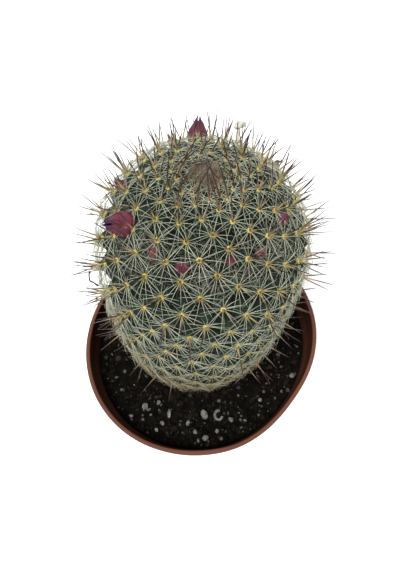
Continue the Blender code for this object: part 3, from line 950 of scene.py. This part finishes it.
def addPetal(bm, tags, turn, reach, halfAngle, layer, length, half, rng):
    # one petal wrapped round the bud, from its foot to a pointed tip
    rows = []
    lift = rng.uniform(0.0, 0.25)
    for i in range(petalGrid["along"] + 1):
        share = i / petalGrid["along"]
        rise = share * reach
        width = halfAngle * math.sin(math.pi * (0.16 + 0.84 * min(1.0, share * 1.02)) ** 0.9) ** 0.7
        width = max(width, 0.02)
        row = []
        for k in range(petalGrid["across"] + 1):
            across = 2.0 * k / petalGrid["across"] - 1.0
            angle = turn + across * width + 0.25 * share
            flare = petalGrid["spread"] * (across ** 2 * 0.35 + share ** 3 * lift)
            radius = half * (outlineAt(rise) * (0.86 + 0.05 * layer) + flare * 0.5 - 0.02 * abs(across))
            spot = (radius * math.cos(angle), radius * math.sin(angle), length * rise)
            vertex = bm.verts.new(spot)
            tags[vertex] = (rise, across)
            row.append(vertex)
        rows.append(row)
    for low, high in zip(rows, rows[1:]):
        for k in range(petalGrid["across"]):
            bm.faces.new((low[k], low[k + 1], high[k + 1], high[k]))


def makeBud(name, material):
    shape = budShapes[name]
    root, axis, length, half = budAxis(name)
    rng = random.Random(name)
    bm = bmesh.new()
    tags = {}
    layers = len(shape["whorls"])
    for layer, (count, reach, overlap) in enumerate(shape["whorls"]):
        for i in range(count):
            turn = math.tau * (i + 0.5 * layer + rng.uniform(-0.12, 0.12)) / count
            jitter = rng.uniform(0.93, 1.0)
            addPetal(bm, tags, turn, reach * jitter, overlap * math.tau / count * 1.25,
                     layers - 1 - layer, length, half, rng)
    bm.verts.index_update()
    ordered = list(bm.verts)
    along = [tags[vertex][0] for vertex in ordered]
    across = [tags[vertex][1] for vertex in ordered]
    mesh = meshFrom(name + "_petals", bm)
    places = vertexArray(mesh)
    shift = rng.uniform(0.0, 50.0)
    for axisNumber in range(3):
        bend = noiseAt(places, 900.0, shift + 9.0 * axisNumber)
        places[:, axisNumber] += shape["crumple"] * half * 1.6 * bend
    turn = np.array(axis.to_track_quat("Z", "Y").to_matrix())
    nudge = shape.get("nudge", (0.0, 0.0, 0.0))
    storeVertices(mesh, places @ turn.T + np.array(root) + np.array(nudge))
    setAttribute(mesh, "along", along)
    setAttribute(mesh, "across", across)
    item = looseObject(name + "_petals", mesh)
    wall = item.modifiers.new("wall", "SOLIDIFY")
    wall.thickness = petalGrid["thickness"]
    wall.offset = 0.0
    mesh = bakedMesh(item, name + "_petals")
    addPiece(name + "_petals", mesh, material, [name])


huskShape = {"stalkWidth": 0.24 * mm, "head": (1.75 * mm, 0.95 * mm, 1.0 * mm)}
scrapShape = {"turns": 1.1, "width": 0.32 * mm}


def tubeMesh(name, points, radii, sides=8):
    curve = bpy.data.curves.new(name, "CURVE")
    curve.dimensions = "3D"
    curve.bevel_depth = 1.0
    curve.bevel_resolution = max(0, sides // 4 - 1)
    curve.use_fill_caps = True
    spline = curve.splines.new("POLY")
    spline.points.add(len(points) - 1)
    for spot, point, radius in zip(spline.points, points, radii):
        spot.co = (*point, 1.0)
        spot.radius = radius
    return bakedMesh(looseObject(name, curve), name)


def joinMeshes(name, meshes):
    bm = bmesh.new()
    for mesh in meshes:
        bm.from_mesh(mesh)
    bmesh.ops.remove_doubles(bm, verts=bm.verts, dist=0.000001)
    return meshFrom(name, bm)


def makeHusk(material):
    places = vertexArray(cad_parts["dry_husk"].data)
    heart = toWorld(np.array([[0.0, 0.0, 70.0 * mm]]))[0]
    far = np.linalg.norm(places - heart, axis=1)
    tip = Vector(places[np.argmax(far)])
    foot = Vector(places[np.argmin(far)])
    axis = (tip - foot).normalized()
    side = Vector((1.0, 0.0, 0.0)) - axis * axis.x
    side.normalize()
    headCentre = tip - axis * 0.7 * mm + side * 0.45 * mm
    meshes = []
    for gap in (-0.32, 0.32):
        points = []
        for i in range(9):
            share = i / 8
            bend = side * (gap * mm * (1.0 - 0.6 * share) + 0.25 * mm * math.sin(share * 2.2))
            points.append(foot.lerp(tip - axis * 1.2 * mm, share) + bend)
        radii = [huskShape["stalkWidth"] * (1.0 - 0.25 * i / 8) for i in range(9)]
        meshes.append(tubeMesh("husk_stalk", points, radii))
    bm = bmesh.new()
    bmesh.ops.create_icosphere(bm, subdivisions=4, radius=1.0)
    turn = (side * 0.9 + axis * 0.45).normalized().to_track_quat("X", "Z").to_matrix()
    for vertex in bm.verts:
        spot = vertex.co.copy()
        dent = 1.0 + 0.22 * noise.noise(spot * 1.6) + 0.10 * noise.noise(spot * 4.0)
        long, wide, deep = huskShape["head"]
        body = Vector((spot.x * long, spot.y * wide * (1.0 - 0.25 * spot.x), spot.z * deep)) * dent
        body.z -= 0.35 * mm * spot.x ** 2
        vertex.co = headCentre + turn @ body
    meshes.append(meshFrom("husk_head", bm))
    mesh = joinMeshes("dry_husk_stalks", meshes)
    addPiece("dry_husk_stalks", mesh, material, ["dry_husk"])


def makeScrap(material):
    low, high = (Vector(corner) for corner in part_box("dry_scrap"))
    middle = (low + high) / 2
    size = (high - low) / 2
    points, radii = [], []
    steps = 34
    for i in range(steps + 1):
        share = i / steps
        turn = share * scrapShape["turns"] * math.tau
        swing = (1.0 - 0.5 * share)
        spot = Vector((size.x * (0.35 * swing * math.cos(turn) + 1.3 * share - 0.8),
                       size.y * (0.5 * swing * math.sin(turn) + 0.7 - 1.3 * share),
                       size.z * (0.95 - 1.7 * share)))
        shifted = spot * 900.0 + Vector((9, 9, 9))
        spot += Vector((noise.noise(spot * 900.0), noise.noise(shifted), 0.0)) * 0.5 * mm
        points.append(middle + spot)
        lumpy = 0.5 * abs(noise.noise(Vector((share * 7.0, 0.3, 0.0))))
        swollen = 3.0 * max(0.0, share - 0.8) * (1.0 - share)
        radii.append(scrapShape["width"] * (0.55 + lumpy + swollen))
    mesh = tubeMesh("dry_curl", points, radii)
    addPiece("dry_curl", mesh, material, ["dry_scrap"])


potShape = {
    "wall": 1.0 * mm,
    "lipWall": 1.5 * mm,
    "lipDepth": 8.5 * mm,
    "lipStep": 1.4 * mm,
    "rimRadius": 42.5 * mm,
    "footRadius": 30.5 * mm,
    "footWidth": 2.2 * mm,
    "footHeight": 2.6 * mm,
    "floor": 1.3 * mm,
    "squeeze": 0.04,
    "squeezeTurn": math.radians(40.4),
    "sides": 192,
    "drainRadius": 3.4 * mm,
    "drainRing": 20.0 * mm,
    "drains": 8,
    # where the thin rim is pushed in or out: azimuth, width and amount
    "knocks": ((-36, 15, -0.60), (-72, 14, 0.50), (3, 18, 0.42)),
}


def wallRadius(height):
    top = potShape["rimRadius"] - potShape["lipStep"]
    share = height / (potHigh[2] - potShape["lipDepth"])
    return potShape["footRadius"] + (top - potShape["footRadius"]) * share


def bendPot(place):
    # the round pot turns oval towards its rim, with a few knocks in the lip
    share = max(0.0, place.z / potHigh[2])
    turn = Matrix.Rotation(potShape["squeezeTurn"], 3, "Z")
    local = turn.transposed() @ place
    local.x *= 1.0 + potShape["squeeze"] * share ** 1.5
    local.y *= 1.0 - potShape["squeeze"] * share ** 1.5
    place = turn @ local
    azimuth = math.degrees(math.atan2(place.y, place.x))
    push = 0.0
    for centre, width, amount in potShape["knocks"]:
        gap = (azimuth - centre + 180.0) % 360.0 - 180.0
        push += amount * mm * math.exp(-(gap / width) ** 2)
    flat = Vector((place.x, place.y, 0.0))
    if flat.length > 0.0:
        place += flat.normalized() * push * share ** 5
    return place


def roundCorner(points, corner, before, after, radius, steps=4):
    # an arc of points that rounds a corner of an outline
    corner, before, after = Vector(corner), Vector(before), Vector(after)
    first = corner + (before - corner).normalized() * radius
    last = corner + (after - corner).normalized() * radius
    for i in range(steps + 1):
        share = i / steps
        points.append(tuple(first.lerp(corner, share).lerp(corner.lerp(last, share), share)))


def potOutline():
    lipLow = potHigh[2] - potShape["lipDepth"]
    floorTop = potShape["footHeight"] + potShape["floor"]
    innerLip = potShape["rimRadius"] - potShape["lipWall"]
    corners = [
        ((0.0, floorTop), 0.0),
        ((wallRadius(floorTop) - potShape["wall"], floorTop), 1.8),
        ((wallRadius(lipLow) - potShape["wall"], lipLow - 1.2 * mm), 0.6),
        ((innerLip - 0.25 * mm, lipLow + 0.9 * mm), 0.6),
        ((innerLip, potHigh[2]), 0.55),
        ((potShape["rimRadius"], potHigh[2]), 0.55),
        ((potShape["rimRadius"] - 0.3 * mm, lipLow), 0.45),
        ((wallRadius(lipLow), lipLow), 0.35),
        ((potShape["footRadius"], 0.0), 0.7),
        ((potShape["footRadius"] - potShape["footWidth"], 0.0), 0.5),
        ((potShape["footRadius"] - potShape["footWidth"] - 0.6 * mm, potShape["footHeight"]), 0.6),
        ((0.0, potShape["footHeight"]), 0.0),
    ]
    points = []
    for i, (corner, radius) in enumerate(corners):
        if radius == 0.0:
            points.append(corner)
        else:
            roundCorner(points, corner, corners[i - 1][0], corners[i + 1][0], radius * mm)
    return fillOutline(points, 3.0 * mm)


def fillOutline(points, longest):
    # splits long stretches, so that the wall can bend
    filled = [points[0]]
    for first, last in zip(points, points[1:]):
        parts = max(1, math.ceil(math.dist(first, last) / longest))
        for i in range(1, parts + 1):
            filled.append(tuple(a + (b - a) * i / parts for a, b in zip(first, last)))
    return filled


def turnedMesh(name, outline, sides):
    bm = bmesh.new()
    verts = [bm.verts.new((radius, 0.0, height)) for radius, height in outline]
    edges = [bm.edges.new(pair) for pair in zip(verts, verts[1:])]
    bmesh.ops.spin(bm, geom=verts + edges, axis=(0, 0, 1), angle=math.tau, steps=sides)
    bmesh.ops.remove_doubles(bm, verts=bm.verts, dist=0.000005)
    bmesh.ops.recalc_face_normals(bm, faces=bm.faces)
    return meshFrom(name, bm)


def makePot(material):
    mesh = turnedMesh("nursery_pot", potOutline(), potShape["sides"])
    for vertex in mesh.vertices:
        vertex.co = bendPot(vertex.co)
    bm = bmesh.new()
    for i in range(potShape["drains"] + 1):
        turn = math.tau * i / potShape["drains"]
        ring = potShape["drainRing"] if i < potShape["drains"] else 0.0
        spot = (ring * math.cos(turn), ring * math.sin(turn), potShape["footHeight"])
        place = Matrix.Translation(spot)
        bmesh.ops.create_cone(bm, cap_ends=True, segments=40, radius1=potShape["drainRadius"],
                              radius2=potShape["drainRadius"], depth=12 * mm, matrix=place)
    cutter = looseObject("drain_cutter", meshFrom("drain_cutter", bm, False))
    item = looseObject("nursery_pot", mesh)
    cut = item.modifiers.new("drains", "BOOLEAN")
    cut.operation = "DIFFERENCE"
    cut.solver = "EXACT"
    cut.object = cutter
    mesh = bakedMesh(item, "nursery_pot")
    bpy.data.objects.remove(cutter, do_unlink=True)
    mesh.shade_smooth()
    mesh.set_sharp_from_angle(angle=math.radians(50))
    addPiece("nursery_pot", mesh, material, ["pot"])


soilShape = {
    "ripple": 0.7 * mm,
    "grain": 9.0 * mm,
    "crumble": 0.55 * mm,
    "rings": 74,
    "sides": 240,
    "gap": 0.25 * mm,
    "corner": 2.0 * mm,
    "stemRadius": 20.0 * mm,        # no crumbs nearer to the stem's foot
    "wallClear": 0.8 * mm,
}


def soilHeight(x, y):
    spot = Vector((x, y, 0.0))
    broad = noise.noise(spot / soilShape["grain"] + Vector((7.3, 2.1, 4.0)))
    fine = noise.noise(spot * 620.0) + 0.6 * noise.noise(spot * 1500.0)
    return soilLevel + soilShape["ripple"] * broad + soilShape["crumble"] * fine


def makeSoil(material):
    bottom = potShape["footHeight"] + potShape["floor"] + soilShape["gap"]
    edge = wallRadius(soilLevel) - potShape["wall"] - soilShape["gap"]
    foot = wallRadius(bottom) - potShape["wall"] - soilShape["gap"]
    outline = [(edge * i / soilShape["rings"], soilLevel) for i in range(soilShape["rings"] + 1)]
    corner = soilShape["corner"]
    outline += [(edge - 0.3 * mm, soilLevel - corner), (foot, bottom + corner),
                (foot - corner, bottom), (0.0, bottom)]
    mesh = turnedMesh("potting_mix_bed", outline, soilShape["sides"])
    for vertex in mesh.vertices:
        top = vertex.co.z > soilLevel - 1.0 * mm
        spot = bendPot(vertex.co)
        if top:
            spot.z = soilHeight(spot.x, spot.y)
        vertex.co = spot
    mesh.shade_smooth()
    addPiece("potting_mix_bed", mesh, material, ["potting_soil"])


def buildCrumbTree():
    # strews small broken lumps over points, each turned and sized at random
    tree, net, given = newTree("crumbs", {
        "Size": "Float", "Roughness": "Float", "Detail": "Int", "Seed": "Int",
        "Material": "Material"})
    seed = given["Seed"]
    ball = net.add("GeometryNodeMeshIcoSphere", {}, {"Radius": 1.0, "Subdivisions": given["Detail"]})
    spin = random01(net, seed, (0.0, 0.0, 0.0), (6.28, 6.28, 6.28), "FLOAT_VECTOR")
    squash = random01(net, seed + 1, (0.6, 0.6, 0.4), (1.35, 1.1, 0.9), "FLOAT_VECTOR")
    size = random01(net, seed + 2) ** 2.2 * 0.85 + 0.15
    scale = net.vec("SCALE", squash, size * given["Size"] * named(net, "size"))
    points = store(net, given["Geometry"], "tint", random01(net, seed + 3))
    setLumps(net, points, ball, spin, scale, 900.0, given["Roughness"], given["Material"], 3.0)
    return tree


def soilSpots(count, seed, sink):
    # random places on the mix, inside the pot's wall and outside the stem
    rng = random.Random(seed)
    foot = Vector((*stemShape["foot"], 0.0))
    edge = wallRadius(soilLevel) - potShape["wall"] - soilShape["wallClear"]
    spots = []
    while len(spots) < count:
        reach = edge * math.sqrt(rng.uniform(0.0, 1.0))
        turn = rng.uniform(0.0, math.tau)
        spot = bendPot(Vector((reach * math.cos(turn), reach * math.sin(turn), soilLevel)))
        if (Vector((spot.x, spot.y, 0.0)) - foot).length < soilShape["stemRadius"]:
            continue
        spots.append((spot.x, spot.y, soilHeight(spot.x, spot.y) - sink))
    return spots


crumbSorts = {
    "soil_crumbs": {
        "count": 1150, "seed": 31, "sink": 0.3 * mm, "slot": "potting_mix",
        "inputs": {"Size": 1.5 * mm, "Roughness": 0.9 * mm, "Detail": 2}},
    "soil_grit": {
        "count": 3600, "seed": 32, "sink": 0.0, "slot": "potting_mix",
        "inputs": {"Size": 0.75 * mm, "Roughness": 0.4 * mm, "Detail": 1}},
    "perlite_flecks": {
        "count": 520, "seed": 33, "sink": -0.05 * mm, "slot": "perlite",
        "inputs": {"Size": 0.95 * mm, "Roughness": 0.5 * mm, "Detail": 2}},
}


def makeCrumbs(tree, crumb, fleck):
    for name, sort in crumbSorts.items():
        spots = soilSpots(sort["count"], sort["seed"], sort["sink"])
        flat = np.tile((0.0, 0.0, 1.0), (sort["count"], 1))
        points = pointMesh(name + "_points", spots, flat, flat)
        material = fleck if sort["slot"] == "perlite" else crumb
        inputs = {**sort["inputs"], "Seed": sort["seed"], "Material": material}
        addPiece(name, growOn(name, points, tree, inputs), None)


perliteShape = {"levels": 2, "pit": 0.16 * mm, "pitScale": 1500.0, "grain": 0.08 * mm, "grainScale": 3600.0}


def makePerlite(material):
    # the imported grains, with their surface broken up finely
    names = sorted(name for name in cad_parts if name.startswith("perlite_"))
    for name in names:
        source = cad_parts[name].data
        bm = bmesh.new()
        bm.from_mesh(source)
        bmesh.ops.remove_doubles(bm, verts=bm.verts, dist=0.00001)
        item = looseObject(name + "_pitted", meshFrom(name + "_pitted", bm))
        finer = item.modifiers.new("finer", "SUBSURF")
        finer.levels = perliteShape["levels"]
        finer.render_levels = perliteShape["levels"]
        mesh = bakedMesh(item, name + "_pitted")
        places = vertexArray(mesh)
        bump = perliteShape["pit"] * noiseAt(places, perliteShape["pitScale"])
        bump += perliteShape["grain"] * noiseAt(places, perliteShape["grainScale"], 5.0)
        storeVertices(mesh, places + normalArray(mesh) * bump[:, None])
        mesh.shade_smooth()
        addPiece(name + "_pitted", mesh, material, [name])


cameraSetting = {
    "place": (-0.568 * mm, -53.639 * mm, 251.925 * mm),
    "look": math.radians(67.296),      # below the horizon
    "lens": 31.11,
}


def makeCamera():
    data = bpy.data.cameras.new("camera")
    data.lens = cameraSetting["lens"]
    data.sensor_width = 36.0
    data.clip_start = 0.005
    data.clip_end = 50.0
    camera = bpy.data.objects.new("camera", data)
    camera.location = cameraSetting["place"]
    camera.rotation_euler = (math.pi / 2 - cameraSetting["look"], 0.0, 0.0)
    bpy.context.scene.collection.objects.link(camera)
    bpy.context.scene.camera = camera


studioSetting = {
    "world": 0.44,
    # place, size and power
    "key": ((-0.30, -0.32, 1.08), 0.5, 16.5),
    "fill": ((0.65, -0.15, 0.70), 0.6, 2.0),
    "back": ((0.05, 0.70, 0.70), 0.6, 4.0),
    "aim": (0.0, 0.0, 0.09),
    "floor": 3.0,
}


def makeLight(name):
    place, size, power = studioSetting[name]
    data = bpy.data.lights.new(name, "AREA")
    data.shape = "DISK"
    data.size = size
    data.energy = power
    light = bpy.data.objects.new(name, data)
    light.location = place
    aim = Vector(studioSetting["aim"]) - Vector(place)
    light.rotation_euler = aim.to_track_quat("-Z", "Y").to_euler()
    bpy.context.scene.collection.objects.link(light)


def makeStudio(material):
    world = bpy.data.worlds.new("studio")
    world.use_nodes = True
    background = world.node_tree.nodes["Background"]
    background.inputs["Color"].default_value = (1.0, 1.0, 1.0, 1.0)
    background.inputs["Strength"].default_value = studioSetting["world"]
    bpy.context.scene.world = world
    bpy.context.scene.view_settings.view_transform = "Standard"
    for name in ("key", "fill", "back"):
        makeLight(name)
    bm = bmesh.new()
    bmesh.ops.create_grid(bm, x_segments=24, y_segments=24, size=studioSetting["floor"])
    floor = looseObject("floor", meshFrom("floor", bm, False))
    floor.data.materials.append(material)
    floor.location = (0.0, 0.0, -0.0002)


makeCamera()
makeStudio(newMaterial("pale_floor", paintFloor))
print("camera and studio ready")

axils = makeStemSkin(newMaterial("cactus_skin_fine", paintSkin))
spineTree = buildSpineTree()
makeRadials(spineTree, newMaterial("radial_spine", paintRadials))
makeCentrals(spineTree, newMaterial("central_spine", paintCentrals))
makeAreoles(spineTree, newMaterial("areole_felt", paintFelt), newMaterial("areole_fuzz", paintFuzz))
makeCrownWool(spineTree, newMaterial(
    "crown_wool_hair", paintWool((0.095, 0.074, 0.050), (0.33, 0.27, 0.185))))
makeAxilWool(spineTree, newMaterial(
    "axil_wool_hair", paintWool((0.11, 0.105, 0.082), (0.29, 0.28, 0.225))), axils)
makeFringe(spineTree, newMaterial("old_spine", paintRadials))
print("stem dressed")

crimson = newMaterial("crimson_petal", paintPetal(
    (0.062, 0.003, 0.013), (0.128, 0.006, 0.028), (0.050, 0.004, 0.060), (0.040, 0.002, 0.014)))
magenta = newMaterial("magenta_petal", paintPetal(
    (0.080, 0.008, 0.022), (0.150, 0.024, 0.045), (0.11, 0.014, 0.038), (0.055, 0.007, 0.018)))
faded = newMaterial("faded_petal", paintPetal(
    (0.105, 0.030, 0.034), (0.21, 0.075, 0.075), (0.17, 0.07, 0.065), (0.07, 0.02, 0.022)))
dry = newMaterial("dry_petal_paper", paintPetal(
    (0.20, 0.12, 0.09), (0.36, 0.25, 0.18), (0.06, 0.035, 0.025), (0.10, 0.06, 0.04)))
budFinish = {
    "flower_bud_large": crimson,
    "flower_bud_back": crimson,
    "flower_bud_side": magenta,
    "flower_bud_front": magenta,
    "flower_bud_front_small": magenta,
    "flower_bud_streaked": faded,
    "flower_bud_right": magenta,
    "flower_bud_dull": faded,
    "spent_flower_right": dry,
    "spent_flower_back": dry,
}
for budName, finish in budFinish.items():
    makeBud(budName, finish)
makeHusk(newMaterial("husk_paper", paintDry((0.38, 0.36, 0.29), (0.62, 0.60, 0.52), 900.0)))
makeScrap(newMaterial("dry_curl", paintDry((0.007, 0.006, 0.004), (0.035, 0.030, 0.018), 1500.0)))
print("buds and remains ready")

makePot(newMaterial("pot_plastic_worn", paintPot))
makeSoil(newMaterial("potting_mix_bed", paintSoil))
makeCrumbs(buildCrumbTree(), newMaterial("soil_crumb", paintCrumb),
           newMaterial("perlite_fleck", paintFleck))
makePerlite(newMaterial("perlite_grain", paintPerlite))
print("pot and potting mix ready")
